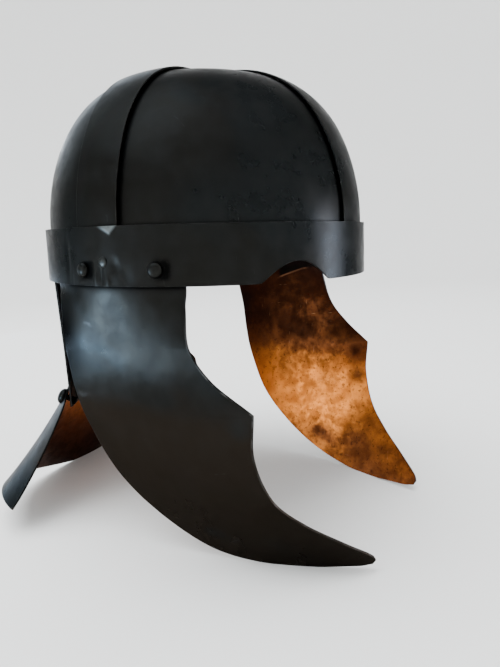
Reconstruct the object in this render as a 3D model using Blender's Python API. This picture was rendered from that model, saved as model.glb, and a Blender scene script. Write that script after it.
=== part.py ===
"""A spangenhelm: a sheet-metal helmet with horn-shaped cheek guards and a flared neck plate.

Metres, +Z up. The face looks towards -Y and the wearer's right side is at -X. The pieces are
drawn with the brow band level and its top edge at z = 0. An empty then tips them by LEAN and
lifts them, so that the helmet stands on z = 0 on its cheek guards and its neck plate.
"""

import math

import bpy
import numpy as np

# Brow band: sizes of its outer face, half way down
BAND_HALF_WIDTH = 0.1054
BAND_HALF_LENGTH = 0.1104
BAND_HEIGHT = 0.0317
BAND_TAPER = 0.0004
BAND_SHEET = 0.001
ARCH_ANGLE = 30.0
ARCH_HALF_ANGLE = 12.0
ARCH_RISE = 0.0112
ARCH_POWER = 1.2

# Bowl: panels under two crossing straps
BOWL_HEIGHT = 0.0932
BOWL_SHOULDER = 3.45
BOWL_RISE = 1.8
PANEL_SHEET = 0.0012
PANEL_SEAM = 0.004
PANEL_TIP = 0.006
STRAP_SHEET = 0.0013
STRAP_WIDTH = 0.0294
CROSSING_RAMP = 0.014
TUCK = 0.013

# Gaps: between flat laps, between curved laps, and round a rivet
SEAM_GAP = 0.00035
LAP_GAP = 0.0005
RIVET_GAP = 0.0003

# Cheek guards: the tip's reach forward, the lowest point, and the tab inside the band; the left
# guard hangs a little further forward than the right one
LEFT_GUARD_AHEAD = 0.0016
GUARD_SHEET = 0.0013
GUARD_REACH = 0.1422
GUARD_DROP = 0.1967
GUARD_SEAT = 0.095
TAB_INSET = 0.0015
TAB_TOP = 0.0145
GUARD_SPREAD = BAND_HALF_WIDTH - TAB_INSET

# Nape plate
NAPE_SHEET = 0.0012
NAPE_HALF_ANGLE = 43.3
NAPE_DROP = 0.128
NAPE_LEAN = 0.002
NAPE_CORNER = 0.003

# Neck plate, whose top edge drops towards its corners
NECK_SHEET = 0.0012
NECK_TOP_DROP = 0.104
NECK_SHOULDER_DROP = 0.012
NECK_TOP_HALF_ANGLE = 46.9
NECK_HALF_ANGLE = 53.4
NECK_HALF_WIDTH = 0.1234
NECK_HALF_LENGTH = 0.1494
NECK_SQUARENESS = 3.5
NECK_DROP = 0.2065
NECK_CORNER_LIFT = 0.0226
NECK_LIFT_SHARE = 0.77
NECK_CURL = 0.27

# Rivets
RIVET_SHANK = 0.0022
RIVET_HEAD = 0.0042
RIVET_HEAD_HEIGHT = 0.0029
NECK_RIVET_HEAD = 0.0058
NECK_RIVET_HEIGHT = 0.004
PEEN_SHANK = 0.0014
PEEN_HEAD = 0.0028
PEEN_HEAD_HEIGHT = 0.0009
TAIL_HEAD = 0.0032
TAIL_HEIGHT = 0.001
RIVET_DROP = 0.023
GUARD_RIVET_ANGLES = (70.8, 95.6)
PEEN_ANGLE = 87.1
PEEN_DROP = 0.0187
NAPE_RIVET_ANGLES = (144.0, 180.0, -144.0)
NECK_RIVET_ANGLES = (141.0, 180.0, -141.0)
NECK_RIVET_MARGIN = 0.007

# How much of each resting edge is ground flat
SEAT_TRIM = 0.0007

# Cheek guard outline, row by row from the tab to the tip. grip is how far the row follows the
# band's oval. out, ahead and down are shares of GUARD_SPREAD, GUARD_REACH and GUARD_DROP, for
# the front edge and then for the back edge, whose ahead is negative where it lies behind.
GUARD_COLUMNS = (
    "grip", "front_out", "front_ahead", "front_down", "back_out", "back_ahead", "back_down",
)
GUARD_ROWS = (
    (1.00, 0.965, 0.350, TAB_TOP / GUARD_DROP, 0.995, -0.311, TAB_TOP / GUARD_DROP),
    (1.00, 0.965, 0.352, 0.168, 0.995, -0.298, 0.173),
    (0.60, 0.966, 0.358, 0.221, 0.995, -0.272, 0.229),
    (0.00, 0.964, 0.388, 0.320, 0.994, -0.239, 0.362),
    (0.00, 0.962, 0.484, 0.404, 0.984, -0.214, 0.482),
    (0.00, 0.914, 0.629, 0.483, 0.958, -0.169, 0.593),
    (0.00, 0.907, 0.624, 0.607, 0.906, -0.050, 0.757),
    (0.00, 0.846, 0.676, 0.731, 0.837, 0.156, 0.889),
    (0.00, 0.740, 0.773, 0.813, 0.760, 0.386, 0.973),
    (0.00, 0.611, 0.893, 0.881, 0.635, 0.645, 1.000),
    (0.00, 0.516, 0.975, 0.927, 0.516, 0.900, 0.980),
    (0.00, 0.486, 0.991, 0.947, 0.482, 0.978, 0.964),
)
GUARD_CORNER_ROW = 5

# Mesh fineness
STEPS_PER_ROW = 2
GUARD_STEPS = 8
STRAP_STEPS = 30
PANEL_STEPS = 12
PLATE_STEPS = 22
ROUND_SIDES = 10

STEEL = (0.035, 0.038, 0.042)
STEEL_ROUGHNESS = 0.45
COPPER = (0.45, 0.17, 0.07)
COPPER_ROUGHNESS = 0.4
METALLIC = 0.85

LEAN = math.atan2(NECK_DROP - GUARD_DROP, NECK_HALF_LENGTH + GUARD_SEAT)
PANEL_INSET = BAND_TAPER + BAND_SHEET + SEAM_GAP + STRAP_SHEET + LAP_GAP
BOWL_HALF_WIDTH = BAND_HALF_WIDTH - PANEL_INSET
BOWL_HALF_LENGTH = BAND_HALF_LENGTH - PANEL_INSET
HEART = np.array([0.0, 0.0, -BAND_HEIGHT])


def oval(angle, inset, drop):
    """Points on the plan oval drawn in by inset; 0 degrees is the face, 90 the right side."""
    turn = np.radians(angle)
    x = -(BAND_HALF_WIDTH - inset) * np.sin(turn)
    y = -(BAND_HALF_LENGTH - inset) * np.cos(turn)
    return np.stack(np.broadcast_arrays(x, y, -drop), -1)


def oval_normal(angle):
    """Unit vector out of the oval at an angle, level."""
    turn = math.radians(angle)
    out = np.array([-math.sin(turn) / BAND_HALF_WIDTH, -math.cos(turn) / BAND_HALF_LENGTH, 0.0])
    return out / np.linalg.norm(out)


def ease(share):
    """Smooth step from 0 to 1."""
    share = np.clip(share, 0.0, 1.0)
    return share * share * (3.0 - 2.0 * share)


def spline(values, steps):
    """Catmull-Rom curve through a column of values, with steps points to each gap."""
    padded = np.concatenate([[2 * values[0] - values[1]], values, [2 * values[-1] - values[-2]]])
    at = np.arange(0, (len(values) - 1) * steps + 1) / steps
    start = np.minimum(at.astype(int), len(values) - 2)
    t = at - start
    a, b, c, d = (padded[start + k] for k in range(4))
    bend = 2 * a - 5 * b + 4 * c - d
    twist = 3 * b - a - 3 * c + d
    return b + ((c - a) * t + bend * t**2 + twist * t**3) / 2


def bowl_level(point):
    """Zero on the panels' outer surface, positive outside: a squared-off dome on the oval."""
    x, y, z = np.moveaxis(point, -1, 0)
    plan = (x / BOWL_HALF_WIDTH) ** 2 + (y / BOWL_HALF_LENGTH) ** 2
    rise = np.maximum(z, 0.0) / BOWL_HEIGHT
    return plan ** (BOWL_SHOULDER / 2) + rise**BOWL_RISE - 1.0


def bowl_normal(point):
    """Unit gradient of bowl_level."""
    x, y, z = np.moveaxis(point, -1, 0)
    plan = (x / BOWL_HALF_WIDTH) ** 2 + (y / BOWL_HALF_LENGTH) ** 2
    pull = BOWL_SHOULDER * plan ** (BOWL_SHOULDER / 2 - 1)
    rise = BOWL_RISE * (np.maximum(z, 0.0) / BOWL_HEIGHT) ** (BOWL_RISE - 1) / BOWL_HEIGHT
    out = np.stack([pull * x / BOWL_HALF_WIDTH**2, pull * y / BOWL_HALF_LENGTH**2, rise], -1)
    return out / np.linalg.norm(out, axis=-1, keepdims=True)


def bowl_point(origin, direction, lift):
    """Where rays from inside meet the bowl, found by halving, then raised along its normal."""
    near = np.zeros(direction.shape[:-1])
    far = near + 2 * BOWL_HALF_LENGTH
    for _ in range(40):
        middle = (near + far) / 2
        inside = bowl_level(origin + direction * middle[..., None]) < 0
        near, far = np.where(inside, middle, near), np.where(inside, far, middle)
    point = origin + direction * near[..., None]
    return point + bowl_normal(point) * np.asarray(lift)[..., None]


def even_angles(side, last, steps):
    """Angles from the level up to last, in radians, evenly spaced along the bowl's profile."""
    angles = np.linspace(0.0, last, 400)
    rays = np.stack([np.cos(angles) * side[0], np.cos(angles) * side[1], np.sin(angles)], -1)
    profile = bowl_point(np.zeros(3), rays, np.zeros(400))
    run = np.concatenate([[0.0], np.cumsum(np.linalg.norm(np.diff(profile, axis=0), axis=1))])
    return np.interp(np.linspace(0.0, run[-1], steps + 1), run, angles)


def grid_normals(points, ring):
    """Unit normals of a grid of points, from its own rows and columns."""
    if ring:
        along = np.roll(points, -1, axis=0) - np.roll(points, 1, axis=0)
    else:
        along = np.gradient(points, axis=0)
    normal = np.cross(along, np.gradient(points, axis=1))
    return normal / np.linalg.norm(normal, axis=-1, keepdims=True)


def sheet(outer, thickness, ring=False):
    """Vertices and faces of a closed sheet: outer is its outside as a grid of points."""
    if np.sum(grid_normals(outer, ring) * (outer - HEART)) < 0:
        outer = outer[:, ::-1]
    inner = outer - grid_normals(outer, ring) * thickness
    rows, columns = outer.shape[:2]
    number = np.arange(rows * columns).reshape(rows, columns)
    if ring:
        number = np.concatenate([number, number[:1]])
    under = number + rows * columns
    faces = []

    def wall(a, b):
        faces.append(np.stack([a[:-1], b[:-1], b[1:], a[1:]], -1).reshape(-1, 4))

    for j in range(columns - 1):
        wall(number[:, j + 1], number[:, j])
        wall(under[:, j], under[:, j + 1])
    wall(number[:, 0], under[:, 0])
    wall(under[:, -1], number[:, -1])
    if not ring:
        wall(under[0], number[0])
        wall(number[-1], under[-1])
    vertices = np.concatenate([outer.reshape(-1, 3), inner.reshape(-1, 3)])
    return vertices, np.concatenate(faces)


def lathe(profile, sides):
    """Vertices and faces of a solid turned about Z: profile is (radius, height) from the top."""
    turns = np.arange(sides) * 2 * math.pi / sides
    ring = np.stack([np.cos(turns), np.sin(turns)], -1)
    levels = [np.column_stack([ring * radius, np.full(sides, height)]) for radius, height in profile]
    vertices = np.concatenate(levels)
    side = np.arange(sides)
    after = (side + 1) % sides
    faces = []
    for level in range(len(profile) - 1):
        a, b = level * sides, (level + 1) * sides
        faces += np.stack([a + side, b + side, b + after, a + after], -1).tolist()
    faces.append((len(profile) - 1) * sides + side[::-1])
    faces.append(side)
    return vertices, [list(map(int, face)) for face in faces]


def placed(vertices, seat, axis):
    """Vertices turned so that +Z follows axis, and moved to seat."""
    across = np.cross([0.0, 0.0, 1.0], axis)
    across = across / np.linalg.norm(across)
    up = np.cross(axis, across)
    return seat + vertices @ np.stack([across, up, axis])


def finish(name, colour, roughness, metallic):
    """A Principled material."""
    material = bpy.data.materials.new(name)
    material.use_nodes = True
    shader = material.node_tree.nodes["Principled BSDF"]
    shader.inputs["Base Color"].default_value = (*colour, 1.0)
    shader.inputs["Roughness"].default_value = roughness
    shader.inputs["Metallic"].default_value = metallic
    return material


def add_object(name, vertices, faces, root, material=None):
    """A named mesh object under the root empty; without a material it is a cutter."""
    mesh = bpy.data.meshes.new(name)
    mesh.from_pydata(np.asarray(vertices).tolist(), [], [[int(i) for i in face] for face in faces])
    mesh.validate()
    piece = bpy.data.objects.new(name, mesh)
    bpy.context.scene.collection.objects.link(piece)
    piece.parent = root
    if material:
        mesh.shade_smooth()
        mesh.set_sharp_from_angle(angle=math.radians(40))
        mesh.materials.append(material)
    else:
        piece.hide_render = True
        piece.display_type = "WIRE"
    return piece


def cut(piece, cutter):
    """Take a cutter out of a piece."""
    modifier = piece.modifiers.new(cutter.name, "BOOLEAN")
    modifier.operation = "DIFFERENCE"
    modifier.solver = "EXACT"
    modifier.object = cutter


def band_grid():
    """The brow band's outer face: a tapered ring whose lower edge has two eye arches."""
    fine = np.arange(-48.0, 48.0, 1.5)
    coarse = np.arange(48.0, 312.0, 4.0)
    angle = np.concatenate([fine, coarse])
    off = (np.abs(angle) - ARCH_ANGLE) / ARCH_HALF_ANGLE
    arch = ARCH_RISE * np.clip(1 - off**2, 0, None) ** ARCH_POWER
    top = oval(angle, BAND_TAPER, np.zeros(len(angle)))
    share = 1 - arch / BAND_HEIGHT
    bottom = oval(angle, BAND_TAPER * (1 - 2 * share), BAND_HEIGHT * share)
    return np.stack([top, bottom], 1)


def panel_grid(side, end):
    """One quarter of the bowl: side and end are the signs of its X and Y."""
    corner = np.array([side * PANEL_SEAM, end * PANEL_SEAM, 0.0])
    plan = np.radians(np.linspace(0.0, 90.0, PANEL_STEPS + 1))
    last = math.atan2(BOWL_HEIGHT, PANEL_TIP)
    climb = even_angles((0.0, 1.0), last, PANEL_STEPS)
    plan, climb = np.meshgrid(plan, climb, indexing="ij")
    across = np.stack([side * np.cos(plan), end * np.sin(plan)], -1) * np.cos(climb)[..., None]
    rays = np.concatenate([across, np.sin(climb)[..., None]], -1)
    grid = bowl_point(corner, rays, np.zeros(plan.shape))
    return np.concatenate([grid[:, :1] - [0.0, 0.0, TUCK], grid], 1)


def strap_grid(lengthwise, lift):
    """A strap over the bowl along X (lengthwise 0) or Y (1); lift gives its height from |run|."""
    widths = np.linspace(-STRAP_WIDTH / 2, STRAP_WIDTH / 2, 5)
    side = (1.0, 0.0) if lengthwise == 0 else (0.0, 1.0)
    climb = even_angles(side, math.pi / 2, STRAP_STEPS // 2)
    turn = np.concatenate([climb, math.pi - climb[-2::-1]])
    grid = np.zeros((len(turn), len(widths), 3))
    for k, width in enumerate(widths):
        origin = np.zeros(3)
        origin[1 - lengthwise] = width
        rays = np.zeros((len(turn), 3))
        rays[:, lengthwise] = -np.cos(turn)
        rays[:, 2] = np.sin(turn)
        flat = bowl_point(origin, rays, np.zeros(len(turn)))
        grid[:, k] = bowl_point(origin, rays, lift(np.abs(flat[:, lengthwise])))
    down = [0.0, 0.0, TUCK]
    return np.concatenate([grid[:1] - down, grid, grid[-1:] - down])


def low_strap_lift(run):
    """The strap that lies on the panels."""
    return np.full(run.shape, LAP_GAP + STRAP_SHEET)


def high_strap_lift(run):
    """The strap that climbs over the other one where they cross."""
    step = 1 - ease((run - STRAP_WIDTH / 2 - PANEL_TIP / 2) / CROSSING_RAMP)
    return LAP_GAP + STRAP_SHEET + step * (STRAP_SHEET + LAP_GAP)


def guard_column(name):
    """One column of the guard table, smoothed; the front edge keeps its corner sharp."""
    values = np.array([row[GUARD_COLUMNS.index(name)] for row in GUARD_ROWS])
    if name.startswith("front"):
        upper = spline(values[: GUARD_CORNER_ROW + 1], STEPS_PER_ROW)
        lower = spline(values[GUARD_CORNER_ROW:], STEPS_PER_ROW)
        return np.concatenate([upper, lower[1:]])
    return spline(values, STEPS_PER_ROW)


def guard_grid(side):
    """A cheek guard's outer face, ruled between its two edges; side is -1 for the right."""
    share = np.linspace(0.0, 1.0, GUARD_STEPS + 1)

    def ruled(what, size):
        front, back = guard_column("front_" + what), guard_column("back_" + what)
        return size * (front[:, None] * (1 - share) + back[:, None] * share)

    grip = np.clip(guard_column("grip"), 0, 1)[:, None]
    y = -ruled("ahead", GUARD_REACH) - (LEFT_GUARD_AHEAD if side > 0 else 0.0)
    beside = np.clip(1 - (y / (BAND_HALF_LENGTH - TAB_INSET)) ** 2, 0, 1)
    held = (BAND_HALF_WIDTH - TAB_INSET) * np.sqrt(beside)
    x = grip * held + (1 - grip) * ruled("out", GUARD_SPREAD)
    return np.stack([side * x, y, -ruled("down", GUARD_DROP)], -1)


def nape_inset(drop):
    """How far the nape plate's outer face is drawn in at a depth below the band's top."""
    return TAB_INSET + NAPE_LEAN * np.clip((drop - BAND_HEIGHT) / (NECK_TOP_DROP - BAND_HEIGHT), 0, 1)


def nape_grid():
    """The nape plate's outer face."""
    share = np.linspace(-1.0, 1.0, PLATE_STEPS + 1)[:, None]
    level = np.linspace(0.0, 1.0, 8)
    bottom = NAPE_DROP - NAPE_CORNER * np.abs(share) ** 10
    drop = TAB_TOP + (bottom - TAB_TOP) * level
    return oval(180.0 + NAPE_HALF_ANGLE * share, nape_inset(drop), drop)


def neck_edge_drop(share):
    """How far the neck plate's top edge lies below the band's top."""
    return NECK_TOP_DROP + NECK_SHOULDER_DROP * share**2


def neck_point(share, level):
    """The neck plate's outer face: share -1 to 1 across, level 0 at its top to 1 at its foot."""
    inset = nape_inset(NECK_TOP_DROP) - SEAM_GAP - NECK_SHEET
    top = oval(180.0 + NECK_TOP_HALF_ANGLE * share, inset, neck_edge_drop(share))
    turn = np.radians(NECK_HALF_ANGLE * share)
    wide = np.abs(np.sin(turn) / NECK_HALF_WIDTH) ** NECK_SQUARENESS
    long = np.abs(np.cos(turn) / NECK_HALF_LENGTH) ** NECK_SQUARENESS
    reach = (wide + long) ** (-1 / NECK_SQUARENESS)
    foot_drop = NECK_DROP - NECK_CORNER_LIFT * ease(np.abs(share) / NECK_LIFT_SHARE)
    foot = np.stack([reach * np.sin(turn), reach * np.cos(turn), -foot_drop], -1)
    level = np.asarray(level)[..., None]
    spread = level - NECK_CURL * level * (1 - level)
    point = top + (foot - top) * level
    point[..., :2] = (top + (foot - top) * spread)[..., :2]
    return point


def neck_grid():
    """The neck plate's outer face as a grid."""
    share, level = np.meshgrid(
        np.linspace(-1.0, 1.0, PLATE_STEPS + 1), np.linspace(0.0, 1.0, 9), indexing="ij"
    )
    return neck_point(share, level)


def rivet_profile(shank, head, height, grip):
    """A domed head above z = 0, a shank through the sheets and a flat tail below them."""
    tail = -grip - RIVET_GAP
    return (
        (0.12 * head, height + RIVET_GAP),
        (0.45 * head, 0.82 * height + RIVET_GAP),
        (0.80 * head, 0.46 * height + RIVET_GAP),
        (head, 0.12 * height + RIVET_GAP),
        (head, RIVET_GAP),
        (shank, RIVET_GAP),
        (shank, tail),
        (TAIL_HEAD, tail),
        (TAIL_HEAD, tail - TAIL_HEIGHT),
    )


def drill_profile(shank, grip):
    """A hole's cutter, longer than the sheets at both ends."""
    radius, over = shank + RIVET_GAP, 0.0015
    return ((radius, over), (radius, -grip - over))


def band_rivets():
    """Name, seat, axis, shank, head, head height and grip of each rivet through the band."""
    inner = {"guard": GUARD_SHEET, "peened": GUARD_SHEET, "nape": NAPE_SHEET}
    rows = []
    for side, word in ((1, "right"), (-1, "left")):
        for k, angle in enumerate(GUARD_RIVET_ANGLES):
            rows.append(("guard_rivet_%s_%d" % (word, k + 1), "guard", side * angle, RIVET_DROP))
        rows.append(("peened_rivet_" + word, "peened", side * PEEN_ANGLE, PEEN_DROP))
    for k, angle in enumerate(NAPE_RIVET_ANGLES):
        rows.append(("nape_rivet_%d" % (k + 1), "nape", angle, RIVET_DROP))
    rivets = []
    for name, kind, angle, drop in rows:
        inset = BAND_TAPER * (1 - 2 * drop / BAND_HEIGHT)
        seat = oval(angle, inset, drop)
        grip = TAB_INSET - inset + inner[kind]
        peened = kind == "peened"
        shank = PEEN_SHANK if peened else RIVET_SHANK
        head = PEEN_HEAD if peened else RIVET_HEAD
        height = PEEN_HEAD_HEIGHT if peened else RIVET_HEAD_HEIGHT
        rivets.append((name, seat, oval_normal(angle), shank, head, height, grip))
    return rivets


def neck_rivets():
    """The same for the rivets through the neck plate and the nape plate, square to the first."""
    rivets = []
    for k, angle in enumerate(NECK_RIVET_ANGLES):
        share = np.array((abs(angle) - 180.0) / NECK_TOP_HALF_ANGLE * math.copysign(1, angle))
        level = NECK_RIVET_MARGIN / (NECK_DROP - NECK_CORNER_LIFT - NECK_TOP_DROP)
        seat = neck_point(share, level)
        down = neck_point(share, level + 0.01) - seat
        across = neck_point(share + 0.01, level) - seat
        axis = np.cross(across, down)
        axis = axis / np.linalg.norm(axis) * math.copysign(1, np.dot(axis, seat - HEART))
        tilt = math.asin(axis[2])
        reach = math.hypot(seat[0] / BAND_HALF_WIDTH, seat[1] / BAND_HALF_LENGTH) * BAND_HALF_WIDTH
        wedge = reach - (BAND_HALF_WIDTH - nape_inset(-seat[2])) + NAPE_SHEET
        grip = wedge / math.cos(tilt) + TAIL_HEAD * math.tan(tilt)
        rivets.append(("neck_rivet_%d" % (k + 1), seat, axis, RIVET_SHANK, NECK_RIVET_HEAD,
                       NECK_RIVET_HEIGHT, grip))
    return rivets


def add_rivets(root, material):
    """All rivets, and one cutter with every rivet's hole; returns the rivets and the cutter."""
    pieces, vertices, faces = [], [], []
    for name, seat, axis, shank, head, height, grip in band_rivets() + neck_rivets():
        points, sides = lathe(rivet_profile(shank, head, height, grip), ROUND_SIDES)
        pieces.append(add_object(name, placed(points, seat, axis), sides, root, material))
        points, sides = lathe(drill_profile(shank, grip), ROUND_SIDES)
        base = sum(len(part) for part in vertices)
        vertices.append(placed(points, seat, axis))
        faces += [[base + index for index in face] for face in sides]
    drill = add_object("rivet_holes", np.concatenate(vertices), faces, root)
    return pieces, drill


def add_floor():
    """The cutter that grinds the resting edges flat at z = 0."""
    half, depth = 2 * GUARD_REACH, 0.05
    plan = ((-half, -half), (half, -half), (half, half), (-half, half))
    corners = [(x, y, z) for z in (-depth, 0.0) for x, y in plan]
    faces = [(3, 2, 1, 0), (4, 5, 6, 7), (0, 1, 5, 4), (1, 2, 6, 5), (2, 3, 7, 6), (3, 0, 4, 7)]
    return add_object("floor_level", corners, faces, None)


def stand(root, pieces):
    """Tip and lift the helmet onto z = 0 and centre its box on the Z axis."""
    root.rotation_euler = (LEAN, 0.0, 0.0)
    points = np.concatenate([[tuple(v.co) for v in piece.data.vertices] for piece in pieces])
    length = points[:, 1] * math.cos(LEAN) - points[:, 2] * math.sin(LEAN)
    middle = (length.min() + length.max()) / 2
    height = NECK_DROP * math.cos(LEAN) - NECK_HALF_LENGTH * math.sin(LEAN) - SEAT_TRIM
    root.location = (0.0, -middle, height)


def main():
    for old in list(bpy.data.objects):
        bpy.data.objects.remove(old, do_unlink=True)
    root = bpy.data.objects.new("helmet", None)
    bpy.context.scene.collection.objects.link(root)

    slots = ("panel", "strap", "band", "plate", "rivet")
    steel = {name: finish(name, STEEL, STEEL_ROUGHNESS, METALLIC) for name in slots}
    copper = finish("guard", COPPER, COPPER_ROUGHNESS, METALLIC)

    def add(name, grid, thickness, material, ring=False):
        return add_object(name, *sheet(grid, thickness, ring), root, material)

    band = add("brow_band", band_grid(), BAND_SHEET, steel["band"], ring=True)
    right = add("cheek_guard_right", guard_grid(-1), GUARD_SHEET, copper)
    left = add("cheek_guard_left", guard_grid(1), GUARD_SHEET, copper)
    nape = add("nape_plate", nape_grid(), NAPE_SHEET, steel["plate"])
    neck = add("neck_plate", neck_grid(), NECK_SHEET, steel["plate"])
    pieces = [band, right, left, nape, neck]
    for side, across in ((-1, "right"), (1, "left")):
        for end, along in ((-1, "front"), (1, "back")):
            name = "panel_%s_%s" % (along, across)
            pieces.append(add(name, panel_grid(side, end), PANEL_SHEET, steel["panel"]))
    pieces.append(add("strap_ear_to_ear", strap_grid(0, low_strap_lift), STRAP_SHEET, steel["strap"]))
    pieces.append(add("strap_front_back", strap_grid(1, high_strap_lift), STRAP_SHEET, steel["strap"]))

    rivets, drill = add_rivets(root, steel["rivet"])
    stand(root, pieces)
    floor = add_floor()
    for piece in (band, right, left, nape, neck):
        cut(piece, drill)
    for piece in (right, left, neck):
        cut(piece, floor)


if __name__ == "__main__":
    main()
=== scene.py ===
"""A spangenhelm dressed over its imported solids: blackened sheet outside, copper colour inside.

Every sheet is worked out again on a finer grid, from the same sizes as the solids, in the
helmet's own frame: the brow band level, its top edge at z = 0, the face towards -Y. stand()
then tips and lifts it onto the floor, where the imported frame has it.
"""

import math

import bpy
import numpy as np
from mathutils import Matrix, Vector


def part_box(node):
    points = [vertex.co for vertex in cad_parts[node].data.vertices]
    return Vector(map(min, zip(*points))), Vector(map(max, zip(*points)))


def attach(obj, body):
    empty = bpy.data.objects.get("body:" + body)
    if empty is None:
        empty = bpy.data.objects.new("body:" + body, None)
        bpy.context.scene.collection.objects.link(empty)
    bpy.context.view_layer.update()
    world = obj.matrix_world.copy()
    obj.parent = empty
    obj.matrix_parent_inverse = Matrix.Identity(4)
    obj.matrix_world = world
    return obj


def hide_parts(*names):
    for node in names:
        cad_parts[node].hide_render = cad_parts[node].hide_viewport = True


# Sizes of the solids, in metres and degrees
BAND_HALF_WIDTH = 0.1054
BAND_HALF_LENGTH = 0.1104
BAND_HEIGHT = 0.0317
BAND_TAPER = 0.0004
BAND_SHEET = 0.001
ARCH_ANGLE = 30.0
ARCH_HALF_ANGLE = 12.0
ARCH_RISE = 0.0112
ARCH_POWER = 1.2
BOWL_HEIGHT = 0.0932
BOWL_SHOULDER = 3.45
BOWL_RISE = 1.8
PANEL_SHEET = 0.0012
PANEL_SEAM = 0.004
PANEL_TIP = 0.006
STRAP_SHEET = 0.0013
STRAP_WIDTH = 0.0294
CROSSING_RAMP = 0.014
TUCK = 0.013
SEAM_GAP = 0.00035
LAP_GAP = 0.0005
LEFT_GUARD_AHEAD = 0.0016
GUARD_SHEET = 0.0013
GUARD_REACH = 0.1422
GUARD_DROP = 0.1967
GUARD_SEAT = 0.095
TAB_INSET = 0.0015
TAB_TOP = 0.0145
GUARD_SPREAD = BAND_HALF_WIDTH - TAB_INSET
NAPE_SHEET = 0.0012
NAPE_HALF_ANGLE = 43.3
NAPE_DROP = 0.128
NAPE_LEAN = 0.002
NAPE_CORNER = 0.003
NECK_SHEET = 0.0012
NECK_TOP_DROP = 0.104
NECK_SHOULDER_DROP = 0.012
NECK_TOP_HALF_ANGLE = 46.9
NECK_HALF_ANGLE = 53.4
NECK_HALF_WIDTH = 0.1234
NECK_HALF_LENGTH = 0.1494
NECK_SQUARENESS = 3.5
NECK_DROP = 0.2065
NECK_CORNER_LIFT = 0.0226
NECK_LIFT_SHARE = 0.77
NECK_CURL = 0.27
NECK_CORNER_ROUND = 0.10
NECK_ROUND_POWER = 36
RIVET_SHANK = 0.0022
RIVET_HEAD = 0.0042
RIVET_HEAD_HEIGHT = 0.0029
NECK_RIVET_HEAD = 0.0058
NECK_RIVET_HEIGHT = 0.004
PEEN_SHANK = 0.0014
PEEN_HEAD = 0.0028
PEEN_HEAD_HEIGHT = 0.0009
TAIL_HEAD = 0.0032
TAIL_HEIGHT = 0.001
RIVET_DROP = 0.023
GUARD_RIVET_ANGLES = (70.8, 95.6)
PEEN_ANGLE = 87.1
PEEN_DROP = 0.0187
NAPE_RIVET_ANGLES = (144.0, 180.0, -144.0)
NECK_RIVET_ANGLES = (141.0, 180.0, -141.0)
NECK_RIVET_MARGIN = 0.007

GUARD_COLUMNS = (
    "grip", "front_out", "front_ahead", "front_down", "back_out", "back_ahead", "back_down",
)
GUARD_ROWS = (
    (1.00, 0.965, 0.350, TAB_TOP / GUARD_DROP, 0.995, -0.311, TAB_TOP / GUARD_DROP),
    (1.00, 0.965, 0.352, 0.168, 0.995, -0.298, 0.173),
    (0.60, 0.966, 0.358, 0.221, 0.995, -0.272, 0.229),
    (0.00, 0.964, 0.388, 0.320, 0.994, -0.239, 0.362),
    (0.00, 0.962, 0.484, 0.404, 0.984, -0.214, 0.482),
    (0.00, 0.914, 0.629, 0.483, 0.958, -0.169, 0.593),
    (0.00, 0.907, 0.624, 0.607, 0.906, -0.050, 0.757),
    (0.00, 0.846, 0.676, 0.731, 0.837, 0.156, 0.889),
    (0.00, 0.740, 0.773, 0.813, 0.760, 0.386, 0.973),
    (0.00, 0.611, 0.893, 0.881, 0.635, 0.645, 1.000),
    (0.00, 0.516, 0.975, 0.927, 0.516, 0.900, 0.980),
    (0.00, 0.486, 0.991, 0.947, 0.482, 0.978, 0.964),
)
GUARD_CORNER_ROW = 5

LEAN = math.atan2(NECK_DROP - GUARD_DROP, NECK_HALF_LENGTH + GUARD_SEAT)
PANEL_INSET = BAND_TAPER + BAND_SHEET + SEAM_GAP + STRAP_SHEET + LAP_GAP
BOWL_HALF_WIDTH = BAND_HALF_WIDTH - PANEL_INSET
BOWL_HALF_LENGTH = BAND_HALF_LENGTH - PANEL_INSET
HEART = np.array([0.0, 0.0, -BAND_HEIGHT])
MM = 0.001

# Steps of the fine grids
BAND_ROWS = 34
PANEL_STEPS = 84
STRAP_HALF_STEPS = 100
STRAP_WIDTH_STEPS = 26
GUARD_ROW_STEPS = 13
GUARD_WIDTH_STEPS = 56
NAPE_GRID = (110, 70)
NECK_GRID = (120, 70)
PROFILE_POINTS = 600
RIVET_SIDES = 40

# Soft unevenness of the sheets: height and wave length, in metres
BAND_UNEVEN = (0.00012, 0.03)
PANEL_UNEVEN = (0.00022, 0.055)
STRAP_UNEVEN = (0.00008, 0.04)
GUARD_UNEVEN = (0.00045, 0.06)
GUARD_PUCKER = (0.00012, 0.018)
NAPE_UNEVEN = (0.00025, 0.05)
NECK_UNEVEN = (0.0004, 0.05)

# Grime and painted shade that fade from an edge or a crevice: share at its start, and reach in
# metres; the neck plate's reach is a share of its height. The band's rim grime is grime; the rest
# is painted shade in the crevices beside the straps, just above the band's top edge and under the
# band's and nape plate's lower edges, and a painted shadow beside the domed rivet heads
BAND_RIM_GRIME = (0.4, 0.0012)
STRAP_SHADE = (0.35, 0.011)
PANEL_FOOT_SHADE = (0.5, 0.0016)
STRAP_FOOT_SHADE = (0.5, 0.0018)
GUARD_TOP_SHADE = (1.0, 0.002)
NAPE_TOP_SHADE = (1.0, 0.004)
NECK_TOP_SHADE = (0.5, 0.05)
CREVICE_REACH = 0.0032
RIVET_SHADOW_SHARE = 0.85

# Painted shade along a guard's back edge and a painted highlight along its front edge: share,
# reach in metres or as a share of the width, drop of the middle and half height in metres
BACK_EDGE_SHADE = (0.8, 0.015, 0.064, 0.026)
FRONT_EDGE_HIGHLIGHT = (0.8, 0.08, 0.083, 0.022)

# Softened edges: share of the sheet's thickness, and the least angle of an edge in degrees
BEVEL_SHARE = 0.28
BEVEL_ANGLE = 50.0

# Bare metal on the crown of a peened rivet and of a domed one, and grime on their tails
PEEN_BARE = 0.22
DOME_BARE = 0.02
TAIL_GRIME = 0.6
FAR_FROM_RIM = 0.01

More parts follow.
